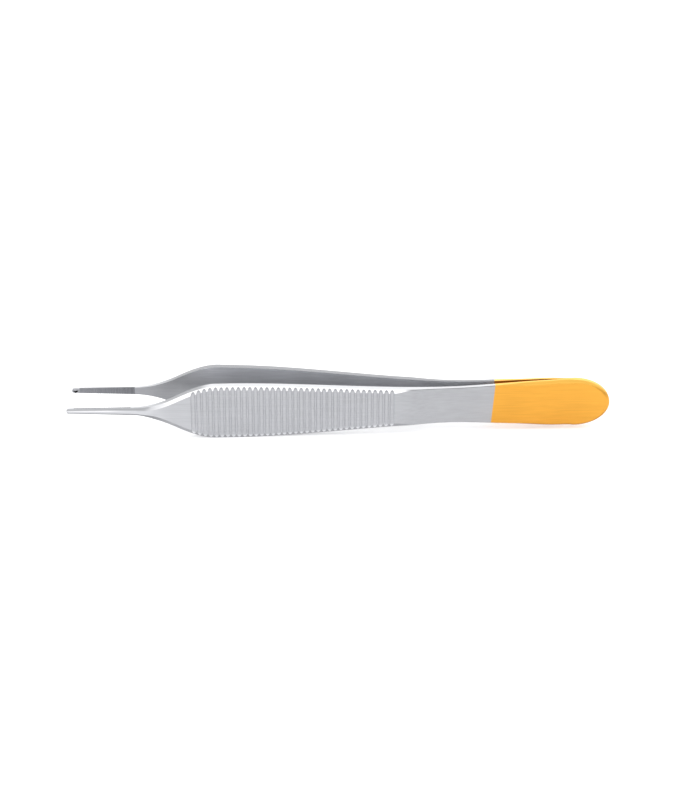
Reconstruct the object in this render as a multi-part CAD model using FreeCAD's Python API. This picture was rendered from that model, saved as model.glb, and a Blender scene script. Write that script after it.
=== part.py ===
# Thumb forceps with toothed tips and carbide pads, at full size in millimetres.
#
# The tips point to -X and the heel to +X. The two arms open along Y, and the width of their
# blades runs along Z. The forceps lies on its long edges, so Z = 0 is the surface it rests on,
# and X = 0 is the middle of its length. The far arm is on the +Y side, the near arm on the -Y
# side, and the arms are mirror images apart from their teeth.
import FreeCAD, Part
import math
import os

V = FreeCAD.Vector

# Lengths along the arm, in order from the tip to the heel
TIP_LENGTH = 14.1             # slender tip, as far as the root of the shoulder
SHOULDER_LENGTH = 18.9        # root to the widest part of the grip
WIDEST_LENGTH = 3.4           # straight stretch at full width, which the forceps rests on
GRIP_TAPER_LENGTH = 47.3      # widest part to the waist
SPRING_LENGTH = 28.2          # waist to the full width of the heel
HEEL_END_LENGTH = 7.9         # half ellipse that rounds off the heel

# Half widths of the blade, along Z
NOSE_HALF_WIDTH = 0.52
ROOT_HALF_WIDTH = 0.8
SHOULDER_MID_HALF_WIDTH = 3.3
GRIP_HALF_WIDTH = 6.15
WAIST_HALF_WIDTH = 4.15
HEEL_HALF_WIDTH = 5.46
SHOULDER_MID_LENGTH = 9.7     # root to the steepest point of the shoulder
SHOULDER_ANGLE = 26.3         # degrees between the outline and the arm there

# Half the gap between the arms, along Y
TIP_HALF_GAP = 5.1
GRIP_HALF_GAP = 4.2
WAIST_HALF_GAP = 1.37
NECK_HALF_GAP = 0.3
BEND_LENGTH = 24.0            # root to the point where the grip bends towards the heel
GRIP_ANGLE = 2.0              # degrees that the inner face leans at that bend
WAIST_ANGLE = 4.35            # degrees that the inner face leans at the waist
NECK_ANGLE = 2.0              # degrees that it leans at the neck, where the arms close up
NECK_LENGTH = 14.8            # heel end to the neck
WELD_LENGTH = 8.8             # heel end to the front of the weld between the arms

# Thickness of each arm, along Y
NOSE_THICKNESS = 1.08
ROOT_THICKNESS = 1.26
SHOULDER_MID_THICKNESS = 1.85
GRIP_THICKNESS = 1.95
GRIP_END_THICKNESS = 1.75      # where the flutes end
SPRING_THICKNESS = 1.05
HEEL_THICKNESS = 1.35
THICKENING_ANGLE = 2.3        # degrees between the faces at the shoulder's steepest point
SPRING_LEAD_LENGTH = 11.0     # end of the flutes to the start of the thin spring
THIN_SPRING_LENGTH = 11.0     # length of the thin spring
HEEL_LEAD_LENGTH = 8.0        # end of the thin spring to full heel thickness

# Bevel along the outer edges, and round of the heel: height along Y and width along Z
CREST_HALF_WIDTH = 0.1        # flat left on top of the half-round tip
TIP_ROUNDNESS_RATIO = 0.83    # 0 is a straight bevel, 1 bulges out to the full corner
GRIP_BEVEL_HEIGHT = 0.36
GRIP_BEVEL_WIDTH = 0.85
SPRING_BEVEL_HEIGHT = 0.10
SPRING_BEVEL_WIDTH = 0.12
HEEL_ROUND_HEIGHT = 0.8
HEEL_ROUND_WIDTH = 0.6
HEEL_ROUNDNESS_RATIO = 0.6
BEVEL_BLEND_LENGTH = 6.0      # root to the point where the round has become the bevel
BEVEL_RUNOUT_LENGTH = 3.0     # end of the flutes to the end of their bevel

# Flutes across the thumb grip
FLUTE_COUNT = 36
FLUTE_PITCH = 1.245
FLUTE_WIDTH = 1.0
FLUTE_DEPTH = 0.3
FLUTE_START_LENGTH = 13.35    # root to the front edge of the first flute

# Carbide pad in the tip, from the root to the steel that carries the teeth
INSERT_THICKNESS = 0.45
SERRATION_PITCH = 0.5
SERRATION_DEPTH = 0.08

# Teeth at the end of the tip
TOOTH_SETBACK = 0.35          # tip end to the front of the teeth
TOOTH_LENGTH = 1.0
TOOTH_BACKING = 0.35          # steel left between the teeth and the carbide pad
TOOTH_WIDTH = 0.30
TOOTH_SPACING = 0.62          # between the middles of the far arm's two teeth
TOOTH_HEIGHT = 0.5
TOOTH_POINT = 0.1             # width and length of the flat left on a tooth's point
TOOTH_CLEARANCE = 0.05        # play round a tooth in the recess that takes it

# Construction: how far a cutting body runs past what it cuts
MARGIN = 2.0
CREST_OVERSHOOT = 0.03
BEVEL_OVERSHOOT = 0.3
HEEL_OVERSHOOT = 0.05
SHOULDER_SECTION_COUNT = 14
REAR_SECTION_COUNT = 20

# Places along X, worked out from the lengths
TOTAL_LENGTH = (TIP_LENGTH + SHOULDER_LENGTH + WIDEST_LENGTH + GRIP_TAPER_LENGTH
                + SPRING_LENGTH + HEEL_END_LENGTH)
TIP_END_X = -TOTAL_LENGTH / 2
NOSE_X = TIP_END_X + NOSE_HALF_WIDTH
ROOT_X = TIP_END_X + TIP_LENGTH
SHOULDER_MID_X = ROOT_X + SHOULDER_MID_LENGTH
BEVEL_BLEND_X = ROOT_X + BEVEL_BLEND_LENGTH
WIDEST_START_X = ROOT_X + SHOULDER_LENGTH
WIDEST_END_X = WIDEST_START_X + WIDEST_LENGTH
BEND_X = ROOT_X + BEND_LENGTH
WAIST_X = WIDEST_END_X + GRIP_TAPER_LENGTH
HEEL_X = WAIST_X + SPRING_LENGTH
HEEL_END_X = HEEL_X + HEEL_END_LENGTH
NECK_X = HEEL_END_X - NECK_LENGTH
WELD_X = HEEL_END_X - WELD_LENGTH
FLUTES_START_X = ROOT_X + FLUTE_START_LENGTH
FLUTES_END_X = FLUTES_START_X + (FLUTE_COUNT - 1) * FLUTE_PITCH + FLUTE_WIDTH
RUNOUT_X = FLUTES_END_X + BEVEL_RUNOUT_LENGTH
SPRING_START_X = FLUTES_END_X + SPRING_LEAD_LENGTH
SPRING_END_X = SPRING_START_X + THIN_SPRING_LENGTH
HEEL_FULL_X = SPRING_END_X + HEEL_LEAD_LENGTH
MID_Z = GRIP_HALF_WIDTH
INSERT_X = TIP_END_X + TOOTH_SETBACK + TOOTH_LENGTH + TOOTH_BACKING
INSERT_LENGTH = ROOT_X - INSERT_X

# Smooth lines along the arm. Each knot is a place along X, a size there and its slope.
TIP_TAPER = (ROOT_HALF_WIDTH - NOSE_HALF_WIDTH) / (ROOT_X - NOSE_X)
TIP_THICKENING = (ROOT_THICKNESS - NOSE_THICKNESS) / (ROOT_X - NOSE_X)
SHOULDER_SLOPE = math.tan(math.radians(SHOULDER_ANGLE))
SHOULDER_THICKENING = math.tan(math.radians(THICKENING_ANGLE))
GRIP_LEAN = math.tan(math.radians(GRIP_ANGLE))
WAIST_LEAN = math.tan(math.radians(WAIST_ANGLE))
NECK_LEAN = math.tan(math.radians(NECK_ANGLE))
HALF_WIDTH = [
    (NOSE_X, NOSE_HALF_WIDTH, TIP_TAPER),
    (ROOT_X, ROOT_HALF_WIDTH, TIP_TAPER),
    (SHOULDER_MID_X, SHOULDER_MID_HALF_WIDTH, SHOULDER_SLOPE),
    (WIDEST_START_X, GRIP_HALF_WIDTH, 0),
    (WIDEST_END_X, GRIP_HALF_WIDTH, 0),
    (WAIST_X, WAIST_HALF_WIDTH, 0),
    (HEEL_X, HEEL_HALF_WIDTH, 0),
]
HALF_GAP = [
    (TIP_END_X - MARGIN, TIP_HALF_GAP, 0),
    (ROOT_X, TIP_HALF_GAP, 0),
    (BEND_X, GRIP_HALF_GAP, -GRIP_LEAN),
    (WAIST_X, WAIST_HALF_GAP, -WAIST_LEAN),
    (NECK_X, NECK_HALF_GAP, -NECK_LEAN),
    (WELD_X, 0, 0),
    (HEEL_END_X + MARGIN, 0, 0),
]
THICKNESS = [
    (TIP_END_X - MARGIN, NOSE_THICKNESS, 0),
    (NOSE_X, NOSE_THICKNESS, TIP_THICKENING),
    (ROOT_X, ROOT_THICKNESS, TIP_THICKENING),
    (SHOULDER_MID_X, SHOULDER_MID_THICKNESS, SHOULDER_THICKENING),
    (WIDEST_START_X, GRIP_THICKNESS, 0),
    (FLUTES_END_X, GRIP_END_THICKNESS, 0),
    (SPRING_START_X, SPRING_THICKNESS, 0),
    (SPRING_END_X, SPRING_THICKNESS, 0),
    (HEEL_FULL_X, HEEL_THICKNESS, 0),
    (HEEL_END_X + MARGIN, HEEL_THICKNESS, 0),
]
BEVEL_HEIGHT = [
    (NOSE_X, NOSE_HALF_WIDTH - CREST_HALF_WIDTH, TIP_TAPER),
    (ROOT_X, ROOT_HALF_WIDTH - CREST_HALF_WIDTH, TIP_TAPER),
    (BEVEL_BLEND_X, GRIP_BEVEL_HEIGHT, 0),
    (FLUTES_END_X, GRIP_BEVEL_HEIGHT, 0),
    (RUNOUT_X, SPRING_BEVEL_HEIGHT, 0),
    (SPRING_END_X, SPRING_BEVEL_HEIGHT, 0),
    (HEEL_FULL_X, HEEL_ROUND_HEIGHT, 0),
    (HEEL_X, HEEL_ROUND_HEIGHT, 0),
]
BEVEL_WIDTH = [
    (NOSE_X, NOSE_HALF_WIDTH - CREST_HALF_WIDTH, TIP_TAPER),
    (ROOT_X, ROOT_HALF_WIDTH - CREST_HALF_WIDTH, TIP_TAPER),
    (BEVEL_BLEND_X, GRIP_BEVEL_WIDTH, 0),
    (FLUTES_END_X, GRIP_BEVEL_WIDTH, 0),
    (RUNOUT_X, SPRING_BEVEL_WIDTH, 0),
    (SPRING_END_X, SPRING_BEVEL_WIDTH, 0),
    (HEEL_FULL_X, HEEL_ROUND_WIDTH, 0),
    (HEEL_X, HEEL_ROUND_WIDTH, 0),
]
ROUNDNESS = [
    (NOSE_X, TIP_ROUNDNESS_RATIO, 0),
    (ROOT_X, TIP_ROUNDNESS_RATIO, 0),
    (BEVEL_BLEND_X, 0, 0),
    (SPRING_END_X, 0, 0),
    (HEEL_FULL_X, HEEL_ROUNDNESS_RATIO, 0),
    (HEEL_X, HEEL_ROUNDNESS_RATIO, 0),
]
OVERSHOOT = [
    (NOSE_X, CREST_OVERSHOOT, 0),
    (ROOT_X, CREST_OVERSHOOT, 0),
    (BEVEL_BLEND_X, BEVEL_OVERSHOOT, 0),
    (SPRING_END_X, BEVEL_OVERSHOOT, 0),
    (HEEL_FULL_X, HEEL_OVERSHOOT, 0),
    (HEEL_X, HEEL_OVERSHOOT, 0),
]


def smooth(knots, x):
    """Size and slope at x of the cubic stretches that join the knots."""
    for (start_x, start, start_slope), (end_x, end, end_slope) in zip(knots, knots[1:]):
        if x <= end_x:
            break
    if start == end and start_slope == end_slope == 0:
        return start, 0
    span = end_x - start_x
    t = (x - start_x) / span
    p0, p3 = start, end
    p1 = start + start_slope * span / 3
    p2 = end - end_slope * span / 3
    u = 1 - t
    size = u**3 * p0 + 3 * u * u * t * p1 + 3 * u * t * t * p2 + t**3 * p3
    slope = 3 * (u * u * (p1 - p0) + 2 * u * t * (p2 - p1) + t * t * (p3 - p2)) / span
    return size, slope


def inner_face(x):
    """Y and slope of the far arm's inner face."""
    return smooth(HALF_GAP, x)


def outer_face(x):
    """Y and slope of the far arm's outer face, without its flutes."""
    gap, gap_slope = smooth(HALF_GAP, x)
    thickness, thickness_slope = smooth(THICKNESS, x)
    return gap + thickness, gap_slope + thickness_slope


def knots_between(start_x, end_x, *lines):
    """Places of all knots of the lines from start_x to end_x, each once and in order."""
    inside = {knot[0] for line in lines for knot in line if start_x < knot[0] < end_x}
    return [start_x] + sorted(inside) + [end_x]


def face_edges(face, places):
    """An edge in the XY plane for each stretch of the face: a line, or a cubic if it bends."""
    edges = []
    for a, b in zip(places, places[1:]):
        third = (b - a) / 3
        (ya, slope_a), (yb, slope_b) = face(a), face(b)
        if ya == yb and slope_a == slope_b == 0:
            edges.append(Part.makeLine(V(a, ya, 0), V(b, yb, 0)))
            continue
        curve = Part.BezierCurve()
        curve.setPoles([V(a, ya, 0), V(a + third, ya + slope_a * third, 0),
                        V(b - third, yb - slope_b * third, 0), V(b, yb, 0)])
        edges.append(curve.toShape())
    return edges


def flute_edges():
    """The fluted stretch of the outer face: round hollows with a narrow land between them."""
    edges = []
    for i in range(FLUTE_COUNT):
        start = FLUTES_START_X + i * FLUTE_PITCH
        middle = start + FLUTE_WIDTH / 2
        end = start + FLUTE_WIDTH
        bottom = outer_face(middle)[0] - FLUTE_DEPTH
        edges.append(Part.Arc(V(start, outer_face(start)[0], 0), V(middle, bottom, 0),
                              V(end, outer_face(end)[0], 0)).toShape())
        if i < FLUTE_COUNT - 1:
            land_end = start + FLUTE_PITCH
            edges.append(Part.makeLine(V(end, outer_face(end)[0], 0),
                                       V(land_end, outer_face(land_end)[0], 0)))
    return edges


def side_profile():
    """The far arm seen along its width, extruded past both edges of the blade."""
    front, back = TIP_END_X - MARGIN, HEEL_END_X + MARGIN
    inner = face_edges(inner_face, knots_between(front, back, HALF_GAP))
    outer = face_edges(outer_face, knots_between(front, FLUTES_START_X, HALF_GAP, THICKNESS))
    outer += flute_edges()
    outer += face_edges(outer_face, knots_between(FLUTES_END_X, back, HALF_GAP, THICKNESS))
    ends = [Part.makeLine(V(x, inner_face(x)[0], 0), V(x, outer_face(x)[0], 0))
            for x in (front, back)]
    wire = Part.Wire(Part.__sortEdges__(inner + outer + ends))
    profile = Part.Face(wire)
    profile.translate(V(0, 0, -MARGIN))
    return profile.extrude(V(0, 0, 2 * MID_Z + 2 * MARGIN))


def roof_side(x, side):
    """The bevel or round of one edge at x, from the side wall up past the outer face."""
    half_width = smooth(HALF_WIDTH, x)[0]
    height = smooth(BEVEL_HEIGHT, x)[0]
    width = smooth(BEVEL_WIDTH, x)[0]
    overshoot = smooth(OVERSHOOT, x)[0]
    roundness = smooth(ROUNDNESS, x)[0]
    wall_y = outer_face(x)[0] - height
    top_y = outer_face(x)[0] + overshoot
    top_z = half_width - width * (height + overshoot) / height
    middle_y = (wall_y + top_y) / 2
    middle_z = (half_width + top_z) / 2
    bulge_y = middle_y + roundness * (top_y - middle_y)
    bulge_z = middle_z + roundness * (half_width - middle_z)
    return [V(x, wall_y, MID_Z + side * half_width),
            V(x, bulge_y, MID_Z + side * bulge_z),
            V(x, top_y, MID_Z + side * top_z)]


def curved_edge(points):
    curve = Part.BezierCurve()
    curve.setPoles(points)
    return curve.toShape()


def section(x):
    """Closed outline of the far arm across X: a base below the pad, two walls, two bevels."""
    upper, lower = roof_side(x, 1), roof_side(x, -1)
    base_y = outer_face(x)[0] - GRIP_THICKNESS - MARGIN
    base_upper = V(x, base_y, upper[0].z)
    base_lower = V(x, base_y, lower[0].z)
    edges = [Part.makeLine(base_lower, base_upper), Part.makeLine(base_upper, upper[0]),
             curved_edge(upper), Part.makeLine(upper[2], lower[2]),
             curved_edge(lower[::-1]), Part.makeLine(lower[0], base_lower)]
    return Part.Wire(edges)


def lofted(start_x, end_x, count):
    """Body through evenly spaced sections. Two sections make straight sides."""
    step = (end_x - start_x) / (count - 1)
    wires = [section(start_x + i * step) for i in range(count)]
    return Part.makeLoft(wires, True, count == 2)


def widest_part():
    """Straight stretch of full width: one section, pushed along the lean of the outer face."""
    rise = outer_face(WIDEST_END_X)[0] - outer_face(WIDEST_START_X)[0]
    return Part.Face(section(WIDEST_START_X)).extrude(V(WIDEST_LENGTH, rise, 0))


def rounded_end(x, direction, stretch):
    """Rounded end of an arm: half of its section at x turned about its middle, towards -X or
    +X, and stretched along X to a half ellipse."""
    upper = roof_side(x, 1)
    base_y = outer_face(x)[0] - GRIP_THICKNESS - MARGIN
    base_middle = V(x, base_y, MID_Z)
    base_edge = V(x, base_y, upper[0].z)
    top_middle = V(x, upper[2].y, MID_Z)
    wire = Part.Wire([Part.makeLine(base_middle, base_edge), Part.makeLine(base_edge, upper[0]),
                      curved_edge(upper), Part.makeLine(upper[2], top_middle),
                      Part.makeLine(top_middle, base_middle)])
    end = Part.Face(wire).revolve(base_middle, V(0, direction, 0), 180)
    if stretch == 1:
        return end
    scaling = FreeCAD.Matrix()
    scaling.move(V(-x, 0, 0))
    scaling.scale(V(stretch, 1, 1))
    scaling.move(V(x, 0, 0))
    return end.transformGeometry(scaling)


def blank():
    """The far arm with its full tip, before the pad and the teeth are cut."""
    outside = rounded_end(NOSE_X, -1, 1).fuse([
        lofted(NOSE_X, ROOT_X, 2),
        lofted(ROOT_X, WIDEST_START_X, SHOULDER_SECTION_COUNT),
        widest_part(),
        lofted(WIDEST_END_X, HEEL_X, REAR_SECTION_COUNT),
        rounded_end(HEEL_X, 1, HEEL_END_LENGTH / HEEL_HALF_WIDTH),
    ])
    return outside.common(side_profile()).removeSplitter()


def insert_box():
    """Space of the carbide pad: across the whole tip, from the pad face to its braze face."""
    half_width = ROOT_HALF_WIDTH + MARGIN
    return Part.makeBox(INSERT_LENGTH, INSERT_THICKNESS, 2 * half_width,
                        V(INSERT_X, TIP_HALF_GAP, MID_Z - half_width))


def serrations():
    """Cutter for the fine grooves across the pad's gripping face."""
    count = int(INSERT_LENGTH / SERRATION_PITCH)
    lead = (INSERT_LENGTH - count * SERRATION_PITCH) / 2
    start = INSERT_X + lead
    below = TIP_HALF_GAP - MARGIN
    points = [V(start, below, 0), V(start, TIP_HALF_GAP, 0)]
    for i in range(count):
        groove = start + i * SERRATION_PITCH
        points.append(V(groove + SERRATION_PITCH / 2, TIP_HALF_GAP + SERRATION_DEPTH, 0))
        points.append(V(groove + SERRATION_PITCH, TIP_HALF_GAP, 0))
    points += [V(start + count * SERRATION_PITCH, below, 0), points[0]]
    return Part.Face(Part.makePolygon(points)).extrude(V(0, 0, 2 * MID_Z))


def rectangle(middle_x, y, middle_z, length, width):
    corners = [V(middle_x + sx * length / 2, y, middle_z + sz * width / 2)
               for sx, sz in ((-1, -1), (1, -1), (1, 1), (-1, 1), (-1, -1))]
    return Part.makePolygon(corners)


def tooth(offset_z, direction, play=0):
    """A pointed tooth that stands on the pad face: direction -1 points it into the gap and
    1 into the tip. Play makes it larger all round, for the recess that takes it."""
    middle_x = TIP_END_X + TOOTH_SETBACK + TOOTH_LENGTH / 2
    middle_z = MID_Z + offset_z
    grown = 2 * play
    base = rectangle(middle_x, TIP_HALF_GAP, middle_z, TOOTH_LENGTH + grown, TOOTH_WIDTH + grown)
    point = rectangle(middle_x, TIP_HALF_GAP + direction * (TOOTH_HEIGHT + play), middle_z,
                      TOOTH_POINT + grown, TOOTH_POINT + grown)
    return Part.makeLoft([base, point], True, True)


def arm(whole, own_offsets, other_offsets):
    """An arm with its own teeth, and with recesses for the teeth of the other arm."""
    shape = whole.cut(insert_box())
    shape = shape.fuse([tooth(offset, -1) for offset in own_offsets])
    shape = shape.cut([tooth(offset, 1, TOOTH_CLEARANCE) for offset in other_offsets])
    return shape.removeSplitter()


def mirrored(shape):
    """The same shape on the near side."""
    return shape.mirror(V(0, 0, 0), V(0, 1, 0))


def build():
    whole = blank()
    outer_offsets = [-TOOTH_SPACING / 2, TOOTH_SPACING / 2]
    pad = whole.common(insert_box()).cut(serrations())
    return {
        "far_arm": arm(whole, outer_offsets, [0]),
        "near_arm": mirrored(arm(whole, [0], outer_offsets)),
        "far_insert": pad,
        "near_insert": mirrored(pad),
    }


os.makedirs("parts", exist_ok=True)
for name, shape in build().items():
    solids = shape.Solids
    print(name, "solids", len(solids), "valid", shape.isValid(), "volume %.2f" % shape.Volume,
          "box", shape.optimalBoundingBox())
    node = solids[0] if len(solids) == 1 else shape
    node.exportStep("parts/%s.step" % name)
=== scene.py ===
# %% [markdown]
# # Thumb forceps, dressed for the camera
#
# Tissue forceps have two spring arms, welded together at the heel. Surgeons hold them by the
# fluted grips and press the slender toothed tips together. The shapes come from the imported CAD
# model, in metres, and this script gives them their finish, a studio and a camera.

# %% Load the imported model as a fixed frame
import bpy
import math
from mathutils import Matrix, Vector


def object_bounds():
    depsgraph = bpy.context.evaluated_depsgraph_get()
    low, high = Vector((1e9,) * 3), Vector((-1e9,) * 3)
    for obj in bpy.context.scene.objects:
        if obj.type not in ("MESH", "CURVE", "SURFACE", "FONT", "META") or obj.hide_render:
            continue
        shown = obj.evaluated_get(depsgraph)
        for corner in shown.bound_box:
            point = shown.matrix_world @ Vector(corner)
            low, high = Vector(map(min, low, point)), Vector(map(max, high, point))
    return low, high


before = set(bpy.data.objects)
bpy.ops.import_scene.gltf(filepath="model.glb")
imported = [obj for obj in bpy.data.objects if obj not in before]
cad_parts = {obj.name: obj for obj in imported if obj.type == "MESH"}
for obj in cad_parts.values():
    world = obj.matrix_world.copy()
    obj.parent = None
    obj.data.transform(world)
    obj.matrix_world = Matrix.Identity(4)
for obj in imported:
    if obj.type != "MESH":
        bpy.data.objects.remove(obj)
cad_low, cad_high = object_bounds()
MM = 0.001
MID_Z = (cad_low.z + cad_high.z) / 2
print("nodes:", sorted(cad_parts))
print("CAD box, mm:", [round(1000 * size, 2) for size in cad_high - cad_low])

# %% [markdown]
# ## Camera
#
# The photograph looks at the forceps from the side and a little from above, so both arms show.
# A camera can be placed by eye, or worked out from points whose real places are known. This one
# was fitted to the outline of the arms, because a few pixels matter on tips this slender.

# %% Camera at the photograph's viewing angle
SENSOR_WIDTH = 36             # mm, the longer side of a full-frame sensor
IMAGE_HEIGHT = 810            # the longer side of the picture, in pixels
FOCAL_PIXELS = 2029.82
CAMERA_DISTANCE = 450.285 * MM
CAMERA_AZIMUTH = math.radians(-0.02)
CAMERA_ELEVATION = math.radians(25.0)
CAMERA_ROLL = math.radians(0.08)
AIM_RIGHT, AIM_UP = 0.382 * MM, 0.919 * MM

camera_data = bpy.data.cameras.new("camera")
camera_data.sensor_width = SENSOR_WIDTH
camera_data.lens = FOCAL_PIXELS * SENSOR_WIDTH / IMAGE_HEIGHT
camera = bpy.data.objects.new("camera", camera_data)
bpy.context.scene.collection.objects.link(camera)

backward = Vector((math.sin(CAMERA_AZIMUTH) * math.cos(CAMERA_ELEVATION),
                   -math.cos(CAMERA_AZIMUTH) * math.cos(CAMERA_ELEVATION),
                   math.sin(CAMERA_ELEVATION)))
level = Vector((math.cos(CAMERA_AZIMUTH), math.sin(CAMERA_AZIMUTH), 0))
upward = backward.cross(level)
right = level * math.cos(CAMERA_ROLL) + upward * math.sin(CAMERA_ROLL)
up = upward * math.cos(CAMERA_ROLL) - level * math.sin(CAMERA_ROLL)
place = backward * CAMERA_DISTANCE - right * AIM_RIGHT - up * AIM_UP + Vector((0, 0, MID_Z))
camera.matrix_world = (Matrix.Translation(place)
                       @ Matrix((right, up, backward)).transposed().to_4x4())
bpy.context.scene.camera = camera
print("lens, mm:", round(camera_data.lens, 2))

# %% [markdown]
# ## Colours and shader nodes
#
# Colours are picked on a screen as sRGB hex values, but a shader reckons in linear light. One
# function turns one into the other, so every finish below can be written as it looks. Another
# adds a shader node with its settings and links, so that a finish can be read from top to
# bottom, as a maker would list the steps.

# %% Linear colours


def linear(hex_colour):
    """Linear RGBA of an sRGB colour such as #C0FFEE."""
    channels = [int(hex_colour[i:i + 2], 16) / 255 for i in (1, 3, 5)]
    return [c / 12.92 if c <= 0.04045 else ((c + 0.055) / 1.055) ** 2.4 for c in channels] + [1]


print("half-bright on a screen is", round(linear("#808080")[0], 2), "of the light")

# %% Shader nodes


def add_node(tree, kind, inputs=None, **settings):
    """Adds a node. An input takes a plain value, an output socket, or a node, which then gives
    its first output."""
    node = tree.nodes.new("ShaderNode" + kind)
    for name, value in settings.items():
        setattr(node, name, value)
    for name, value in (inputs or {}).items():
        if isinstance(value, bpy.types.Node):
            value = value.outputs[0]
        if isinstance(value, bpy.types.NodeSocket):
            tree.links.new(value, node.inputs[name])
        else:
            node.inputs[name].default_value = value
    return node


# %% [markdown]
# ## Studio
#
# A product photographer stands such an instrument on white card and puts large soft lights
# round it. Metal shows what it mirrors, so the lights matter more than the paint: the faces
# mirror the card, the bevels mirror the light in front, and the long edges mirror the light
# behind. The upper light is there for the card alone. The ground of the photograph is pure white
# right up to the metal, so this light casts no shadow and isn't seen in the metal, which would
# turn the long edges as white as the card in a view from above.

# %% Floor
FLOOR_SIZE = 4.0
CARD_COLOUR, CARD_ROUGHNESS = "#F2F2F3", 0.9

bpy.ops.mesh.primitive_plane_add(size=FLOOR_SIZE)
floor = bpy.context.object
floor.name = "floor"
card = bpy.data.materials.new("matt white card")
card.use_nodes = True
card_shader = card.node_tree.nodes["Principled BSDF"]
card_shader.inputs["Base Color"].default_value = linear(CARD_COLOUR)
card_shader.inputs["Roughness"].default_value = CARD_ROUGHNESS
floor.data.materials.append(card)
bpy.context.scene.view_settings.view_transform = "Standard"
print("floor, m:", FLOOR_SIZE)

# %% Room
room = bpy.data.worlds.new("pale room")
room.use_nodes = True
room_light = room.node_tree.nodes["Background"]
room_light.inputs["Color"].default_value = linear("#FFFFFF")
room_light.inputs["Strength"].default_value = 1.0
bpy.context.scene.world = room
print("world:", room.name)

# %% Soft lights
SOFT_LIGHTS = {
    # name: place, size along X, size across, brightness, casts a shadow, seen in the metal
    "light_above": (Vector((0, 0.05, 0.70)), 2.4, 1.6, 0.9, False, False),
    "light_front": (Vector((0, -0.80, 0.34)), 1.2, 0.5, 0.7, True, True),
    "light_behind": (Vector((0, 1.20, 0.56)), 3.0, 0.8, 0.7, False, True),
}
for name, (centre, length, depth, brightness, shadow, mirrored) in SOFT_LIGHTS.items():
    light = bpy.data.lights.new(name, "AREA")
    light.shape = "RECTANGLE"
    light.size, light.size_y = length, depth
    light.energy = brightness * math.pi * length * depth   # so a larger light isn't dimmer
    light.use_shadow = shadow
    lamp = bpy.data.objects.new(name, light)
    lamp.visible_glossy = mirrored
    lamp.location = centre
    lamp.rotation_euler = (-centre).to_track_quat("-Z", "Y").to_euler()
    bpy.context.scene.collection.objects.link(lamp)
    print(name, "watts", round(light.energy, 2))

# %% [markdown]
# ## Satin stainless steel with a gold-plated heel
#
# The arms are forged from stainless steel and ground. Their faces are then blasted with glass
# beads, so that they don't dazzle under theatre lights. The heel is masked off with tape and
# plated with gold. Each surface could have its own material slot, but an arm is one solid with one
# slot, so one shader serves. It is metallic all over, and masks choose its colour, as a plater's
# tape does. Most of the greys are painted light: lighter bevels, edges and inner faces are painted
# highlight and reflection, and darker undersides and flute tops are painted shade.
#
# A mask is 0 where a finish is absent and 1 where it is whole, with a smooth rise between. Each
# row of the table names what the mask measures and where it is 0 and 1. Some measure a place
# along the arm. The others measure which way the surface faces, and so they tell the faces,
# bevels, long edges and inner face apart.

# %% Masks of the arm's finishes
PLATING_EDGE_X = 34.0 * MM          # the tape's edge at mid height, not quite square to the arm
PLATING_SLANT = math.tan(math.radians(4.5))
PLATING_BLUR = 0.08 * MM
TAPE_X = PLATING_EDGE_X - MID_Z * PLATING_SLANT     # where the tape's edge would meet the floor

MASKS = {
    # name: what it measures, where it is 0, where it is 1
    "plated": ("along the tape", TAPE_X - PLATING_BLUR, TAPE_X + PLATING_BLUR),
    "tip": ("along", -46.0 * MM, -52.0 * MM),
    "before the shoulder": ("along", -36.0 * MM, -43.0 * MM),
    "past the root": ("along", -43.0 * MM, -36.0 * MM),
    "inside of the shoulder": ("along", -46.0 * MM, -38.0 * MM),
    "inside of the grip": ("along", -39.0 * MM, -28.0 * MM),
    "grip": ("along", -31.0 * MM, -28.0 * MM),
    "inside of the spring": ("along", -28.0 * MM, 25.0 * MM),
    "spring": ("along", 8.0 * MM, 18.0 * MM),
    "front end": ("facing along", -0.35, -0.6),
    "wall of a flute": ("facing either end", 0.4, 0.85),
    "bevel": ("facing up", 0.15, 0.3),
    "long edge": ("facing up", 0.45, 0.65),
    "flat of the edge": ("facing up", 0.9, 0.97),
    "under": ("facing up", -0.15, -0.35),
    "inner face": ("facing inwards", 0.5, 0.9),
}
print(len(MASKS), "masks")

# %% Turn a table into masks


def add_masks(tree, measures, table):
    """Masks by name. Each is a smooth rise of one of the measures."""
    masks = {}
    for name, (measure, at_zero, at_one) in table.items():
        masks[name] = add_node(tree, "MapRange", {
            "Value": measures[measure], "From Min": at_zero, "From Max": at_one},
            interpolation_type="SMOOTHSTEP")
    return masks


def measure_arm(tree, inward):
    """Where a point of the arm is, and which way its surface faces. inward is 1 or -1: the side
    along Y that the inner face looks to."""
    places = add_node(tree, "TexCoord").outputs
    place = add_node(tree, "SeparateXYZ", {"Vector": places["Object"]}).outputs
    facing = add_node(tree, "SeparateXYZ", {"Vector": places["Normal"]}).outputs
    return {
        "place": places["Object"],
        "along": place["X"],
        "height": place["Z"],
        "along the tape": add_node(tree, "Math", {0: place["Z"], 1: -PLATING_SLANT, 2: place["X"]},
                                   operation="MULTIPLY_ADD"),
        "facing along": facing["X"],
        "facing either end": add_node(tree, "Math", {0: facing["X"]}, operation="ABSOLUTE"),
        "facing up": facing["Z"],
        "facing inwards": add_node(tree, "Math", {0: facing["Y"], 1: inward},
                                   operation="MULTIPLY"),
    }
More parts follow.
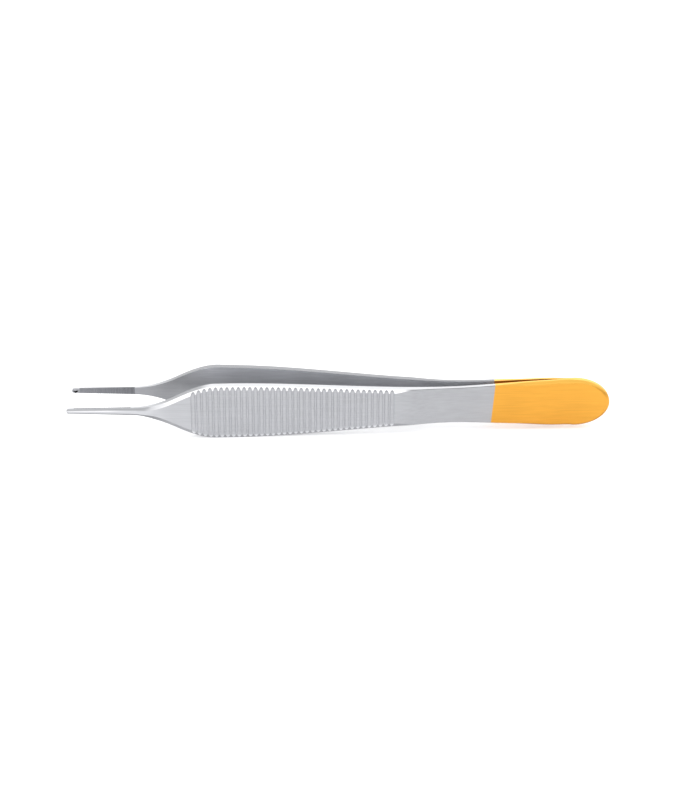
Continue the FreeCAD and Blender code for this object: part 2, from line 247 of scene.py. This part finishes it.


# %% [markdown]
# ## Ends of the flutes
#
# The thumb grip is fluted with a round wheel, so every hollow runs out into the bevels in a small
# arch. The upper arches get a painted shade, a little darker than the hollows, where they mirror
# the dark room, and the lower ones a painted reflection of the card, a little brighter. An arch is
# where a surface that faces straight out is nearer to the long edge than the bevel is wide. The
# distance to the edge could be stored in the mesh, but the mesh belongs to the CAD model, so the
# shader works it out from the blade's outline: a parabola in front of the widest part of the grip,
# and a smooth taper behind it.

# %% Outline of the blade beside the flutes
GRIP_HALF_WIDTH, WAIST_HALF_WIDTH = 6.15 * MM, 4.15 * MM
WIDEST_START_X, WIDEST_END_X, WAIST_X = -26.9 * MM, -23.5 * MM, 23.8 * MM
SHOULDER_CURVE = 0.0391 / MM        # how fast the outline falls away in front of the widest part
BEVEL_WIDTH = 0.85 * MM
FLUTES_START_X, FLUTES_END_X = -32.45 * MM, 12.12 * MM
FLUTES_BLUR = 0.1 * MM

FLUTE_MASKS = {
    # name: what it measures, where it is 0, where it is 1
    "behind the first flute": ("along", FLUTES_START_X - FLUTES_BLUR, FLUTES_START_X),
    "before the last flute": ("along", FLUTES_END_X + FLUTES_BLUR, FLUTES_END_X),
    "near the edge": ("to the edge", BEVEL_WIDTH, 0.3 * BEVEL_WIDTH),
    "faces straight out": ("facing up or down", 0.15, 0.05),
}
print("widest, mm:", round(2 * GRIP_HALF_WIDTH / MM, 2))

# %% Masks of the flutes' upper and lower ends


def flute_ends(tree, measures):
    """Masks of the upper and the lower ends of the flutes, for painted shade and painted
    reflection.
    """
    ahead = add_node(tree, "Math", {0: WIDEST_START_X, 1: measures["along"]},
                     operation="SUBTRACT")
    ahead = add_node(tree, "Math", {0: ahead, 1: 0.0}, operation="MAXIMUM")
    squared = add_node(tree, "Math", {0: ahead, 1: 2.0}, operation="POWER")
    fall = add_node(tree, "Math", {0: squared, 1: SHOULDER_CURVE}, operation="MULTIPLY")
    taper = add_node(tree, "MapRange", {
        "Value": measures["along"], "From Min": WIDEST_END_X, "From Max": WAIST_X,
        "To Min": GRIP_HALF_WIDTH, "To Max": WAIST_HALF_WIDTH}, interpolation_type="SMOOTHSTEP")
    half_width = add_node(tree, "Math", {0: taper, 1: fall}, operation="SUBTRACT")
    above_middle = add_node(tree, "Math", {0: measures["height"], 1: MID_Z}, operation="SUBTRACT")
    from_middle = add_node(tree, "Math", {0: above_middle}, operation="ABSOLUTE")
    masks = add_masks(tree, {
        "along": measures["along"],
        "to the edge": add_node(tree, "Math", {0: half_width, 1: from_middle},
                                operation="SUBTRACT"),
        "facing up or down": add_node(tree, "Math", {0: measures["facing up"]},
                                      operation="ABSOLUTE"),
    }, FLUTE_MASKS)
    ends = 1.0
    for mask in masks.values():
        ends = add_node(tree, "Math", {0: ends, 1: mask}, operation="MULTIPLY")
    upper = add_node(tree, "Math", {0: above_middle, 1: 0.0}, operation="GREATER_THAN")
    tops = add_node(tree, "Math", {0: ends, 1: upper}, operation="MULTIPLY")
    return tops, add_node(tree, "Math", {0: ends, 1: tops}, operation="SUBTRACT")


# %% [markdown]
# ## Coats of colour
#
# Bead-blasted steel is a mid grey. The lighter and darker greys beside it are painted highlight
# and painted shade. A colour ramp could hold the greys, but it follows one measure only. Here each
# colour is laid over the ones before it where its mask is 1, as a painter lays coats: the face
# first, then the flutes, bevels and edges, and the gold last of all.

# %% Base colours
# Painted light and shade: only the face is the steel's own grey. The root and shoulder, lighter
# towards the tip, the flute walls and feet, the bevels, the tip edges and the edge highlight are
# painted highlight and reflection; the flute tops, long edges and undersides are painted shade;
# the inner faces, lighter towards the spring, are painted light.
STEEL = {
    "root": "#B8B9BC", "shoulder": "#AAABAE", "face": "#A1A2A5", "wall of a flute": "#BBBCBF",
    "flute top": "#8B8C8F", "flute foot": "#D2D3D6", "bevel": "#E4E4E6",
    "long edge": "#909194", "tip edge": "#B5B6B9", "edge highlight": "#C8C9CB",
    "under": "#9E9FA2", "tip under": "#808184",
    "inside of the tip": "#A0A1A5", "inside of the shoulder": "#98999C",
    "inside of the grip": "#C9CACD", "inside of the spring": "#DADBDE",
}
# Only the gold's face is its own colour; its long edge is a painted highlight, its underside
# painted shade and its inner face painted light.
GOLD = {"face": "#D69B40", "long edge": "#F8C058", "under": "#B98334", "inner face": "#F5B94F"}
print(len(STEEL), "tones of steel and", len(GOLD), "of gold")

# %% Lay coats and shade them


def lay_coats(tree, colour, *coats):
    """Lays each coat, a mask and a colour, over the ones before it. The Mix node has one set of
    sockets for each kind of data, and 6 and 7 are its colours."""
    for mask, coat in coats:
        under_it, over_it = [linear(c) if isinstance(c, str) else c for c in (colour, coat)]
        colour = add_node(tree, "Mix", {0: mask, 6: under_it, 7: over_it},
                          data_type="RGBA").outputs[2]
    return colour


def shade(tree, colour, value, low, high, factor_low, factor_high):
    """Makes a colour lighter or darker: its factor runs evenly with value."""
    factor = add_node(tree, "MapRange", {"Value": value, "From Min": low, "From Max": high,
                                         "To Min": factor_low, "To Max": factor_high})
    return add_node(tree, "VectorMath", {0: colour, "Scale": factor}, operation="SCALE")


# %% Painted light and shade across the width of the blade
LOWER_FACE, UPPER_FACE = MID_Z - 5.0 * MM, MID_Z + 2.0 * MM
LOWER_FACE_LIGHT = 1.1              # painted light: a little lighter towards the lower edge, against the shaded floor it mirrors
INNER_SHADED, INNER_BRIGHT = MID_Z + 2.0 * MM, MID_Z + 6.0 * MM
INNER_FACTORS = 0.86, 1.6           # painted shade: the inner face is darker towards its lower edge, which mirrors the other arm
print("inner face, mm up to its lightest:", round(INNER_BRIGHT / MM, 2))

# %% Colour of the steel


def steel_colour(tree, measures, masks, edge_highlight):
    """Colour of the steel, with its painted highlight and shade. The last argument is 1 where the
    long edges get a painted highlight along the grip, and 0 if not.
    """
    outer = lay_coats(tree, STEEL["root"], (masks["past the root"], STEEL["shoulder"]),
                      (masks["spring"], STEEL["face"]),
                      (masks["wall of a flute"], STEEL["wall of a flute"]))
    outer = shade(tree, outer, measures["height"], LOWER_FACE, UPPER_FACE, LOWER_FACE_LIGHT, 1.0)
    inner = lay_coats(tree, STEEL["inside of the tip"], *[
        (masks["inside of the " + part], STEEL["inside of the " + part])
        for part in ("shoulder", "grip", "spring")])
    inner = shade(tree, inner, measures["height"], INNER_SHADED, INNER_BRIGHT, *INNER_FACTORS)

    # Painted highlight on the bevels behind the root and at the tip, taken off the bevels facing
    # the front.
    bevel_highlight_zone = add_node(tree, "Math", {0: masks["past the root"], 1: masks["tip"]},
                        operation="ADD")
    bevel = add_node(tree, "Math", {0: masks["bevel"], 1: bevel_highlight_zone}, operation="MULTIPLY")
    bevel = add_node(tree, "Math", {0: bevel, 1: masks["front end"]}, operation="SUBTRACT")
    # Painted highlight on the flat of the long edges along the grip, on the near arm only.
    edge_highlight_mask = add_node(tree, "Math", {0: masks["grip"], 1: edge_highlight}, operation="MULTIPLY")
    edge_highlight_mask = add_node(tree, "Math", {0: edge_highlight_mask, 1: masks["flat of the edge"]}, operation="MULTIPLY")
    # The long edges get painted shade, lighter before the shoulder; the undersides get painted
    # shade, darker still before the shoulder.
    long_edge = lay_coats(tree, STEEL["long edge"],
                          (masks["before the shoulder"], STEEL["tip edge"]),
                          (edge_highlight_mask, STEEL["edge highlight"]))
    under = lay_coats(tree, STEEL["under"], (masks["before the shoulder"], STEEL["tip under"]))

    # Painted shade on the flutes' upper ends, a painted reflection of the card on their lower
    # ends.
    tops, feet = flute_ends(tree, measures)
    return lay_coats(tree, outer, (tops, STEEL["flute top"]), (feet, STEEL["flute foot"]),
                     (bevel, STEEL["bevel"]), (masks["long edge"], long_edge),
                     (masks["under"], under), (masks["inner face"], inner))


# %% [markdown]
# ## Grain and bead marks
#
# Grinding leaves fine lines along the arm, and the glass beads leave dimples over them. An image
# could show both, but noise needs no file and has no seams: drawn out along the arm it makes the
# grain, and left even it makes the dimples. A third, much larger noise makes the patches where
# the blasting or the buffing went deeper.

# %% Sizes and strengths of the marks
GRAIN_WIDTH, GRAIN_LENGTH = 0.30 * MM, 9.0 * MM     # real lines are finer, but wouldn't show
BEAD_SIZE = 0.25 * MM                               # real bead marks are about 0.05 mm
PATCH_SIZE = 7.0 * MM
PATCH_SHARE = 0.4                                   # patches count less than grain
NOISE_RANGE = 0.4, 1.0
TONE_RANGE = 0.92, 1.08
ROUGHNESS_RANGE = 0.29, 0.37
MARKS = {"Strength": 0.12, "Distance": 0.02 * MM}   # the dimples' depth
print("lines of grain per mm:", round(MM / GRAIN_WIDTH, 1))

# %% Add the marks


def add_marks(tree, shader, place, colour):
    """Finishes the shader: grain and patches in its colour, patches in its roughness, and grain
    and bead marks in its relief."""
    stretch = 1 / GRAIN_LENGTH, 1 / GRAIN_WIDTH, 1 / GRAIN_WIDTH
    grain_place = add_node(tree, "Mapping", {"Vector": place, "Scale": stretch})
    grain = add_node(tree, "TexNoise", {"Vector": grain_place, "Scale": 1.0, "Detail": 2.0})
    beads = add_node(tree, "TexNoise", {"Vector": place, "Scale": 1 / BEAD_SIZE, "Detail": 1.0})
    patches = add_node(tree, "TexNoise", {"Vector": place, "Scale": 1 / PATCH_SIZE, "Detail": 2.0})
    marks = add_node(tree, "Math", {0: patches, 1: PATCH_SHARE, 2: grain},
                     operation="MULTIPLY_ADD")
    toned = shade(tree, colour, marks, *NOISE_RANGE, *TONE_RANGE)
    tree.links.new(toned.outputs[0], shader.inputs["Base Color"])
    rough = add_node(tree, "MapRange", {"Value": patches, "To Min": ROUGHNESS_RANGE[0],
                                        "To Max": ROUGHNESS_RANGE[1]})
    tree.links.new(rough.outputs[0], shader.inputs["Roughness"])
    relief = add_node(tree, "Math", {0: grain, 1: beads}, operation="ADD")
    bump = add_node(tree, "Bump", {"Height": relief, **MARKS})
    tree.links.new(bump.outputs[0], shader.inputs["Normal"])


# %% [markdown]
# ## The two arms
#
# The arms are a pair, so one function makes both finishes. They differ in the side that the inner
# face looks to, and in the long edges: those of the near arm get a painted highlight along the
# grip, and those of the far arm don't, so the two are lit and shaded copies. The gold is plated
# over the same marks, so it shares them.

# %% Finish of the two arms


def arm_finish(name, inward, edge_highlight):
    """Satin steel, plated with gold past the tape."""
    # The eye gets soft grey faces with a faint lengthwise grain, painted highlights along the
    # edges, and a warm gold whose highlights stay yellow, because a metal tints what it mirrors.
    material = bpy.data.materials.new(name)
    material.use_nodes = True
    tree = material.node_tree
    shader = tree.nodes["Principled BSDF"]
    shader.inputs["Metallic"].default_value = 1.0
    measures = measure_arm(tree, inward)
    masks = add_masks(tree, measures, MASKS)
    steel = steel_colour(tree, measures, masks, edge_highlight)
    # The gold's long edge is a painted highlight, its underside painted shade, its inner face
    # painted light.
    gold = lay_coats(tree, GOLD["face"], *[(masks[side], GOLD[side])
                                           for side in ("long edge", "under", "inner face")])
    colour = lay_coats(tree, steel, (masks["plated"], gold))
    add_marks(tree, shader, measures["place"], colour)
    return material


# The near arm's long edges get the painted highlight, the far arm's don't.
for node, inward, edge_highlight in (("near_arm", 1, 1.0), ("far_arm", -1, 0.0)):
    finish = arm_finish("satin steel and gold plating, " + node, inward, edge_highlight)
    for material_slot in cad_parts[node].material_slots:
        material_slot.material = finish
    print(node, "finished with", len(finish.node_tree.nodes), "shader nodes")

# %% [markdown]
# ## Sintered carbide
#
# The pads that grip the needle are tungsten carbide: grains pressed and sintered, then ground
# across with diamond and brazed into the tips. It is a metallic grey, darker and rougher than
# steel. Noise drawn out across the pad makes the grinding lines, because a real wheel's lines
# are neither straight nor even, as a wave pattern's would be.

# %% Values of the carbide
PAD_FRONT, PAD_REAR = -58.0 * MM, -45.0 * MM
LINE_PITCH, LINE_LENGTH = 0.35 * MM, 3.0 * MM       # real lines are 0.1 mm apart, too fine to show
CARBIDE = {"front": "#7E7F83", "rear": "#717276"}
LINE_RANGE = 0.3, 0.7
LINE_TONES = 0.88, 1.12
CARBIDE_ROUGHNESS = 0.36, 0.48
LINES = {"Strength": 0.15, "Distance": 0.02 * MM}   # the lines' depth
print("pad, mm:", round((PAD_REAR - PAD_FRONT) / MM, 2))

# %% Finish of the two pads
carbide = bpy.data.materials.new("sintered tungsten carbide, diamond ground")
carbide.use_nodes = True
tree = carbide.node_tree
shader = tree.nodes["Principled BSDF"]
shader.inputs["Metallic"].default_value = 1.0

# The eye gets a dark grey that is a little lighter towards the front, with faint lines across.
place = add_node(tree, "TexCoord").outputs["Object"]
along = add_node(tree, "SeparateXYZ", {"Vector": place}).outputs["X"]
pad_masks = add_masks(tree, {"along": along}, {"rear": ("along", PAD_FRONT, PAD_REAR)})
grey = lay_coats(tree, CARBIDE["front"], (pad_masks["rear"], CARBIDE["rear"]))
line_place = add_node(tree, "Mapping", {"Vector": place, "Scale": (
    1 / LINE_PITCH, 1 / LINE_LENGTH, 1 / LINE_LENGTH)})
lines = add_node(tree, "TexNoise", {"Vector": line_place, "Scale": 1.0, "Detail": 2.0})
toned = shade(tree, grey, lines, *LINE_RANGE, *LINE_TONES)
tree.links.new(toned.outputs[0], shader.inputs["Base Color"])
rough = add_node(tree, "MapRange", {"Value": lines, "To Min": CARBIDE_ROUGHNESS[0],
                                    "To Max": CARBIDE_ROUGHNESS[1]})
tree.links.new(rough.outputs[0], shader.inputs["Roughness"])
bump = add_node(tree, "Bump", {"Height": lines, **LINES})
tree.links.new(bump.outputs[0], shader.inputs["Normal"])
for node in ("near_insert", "far_insert"):
    for material_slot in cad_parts[node].material_slots:
        material_slot.material = carbide
    print(node, "finished")
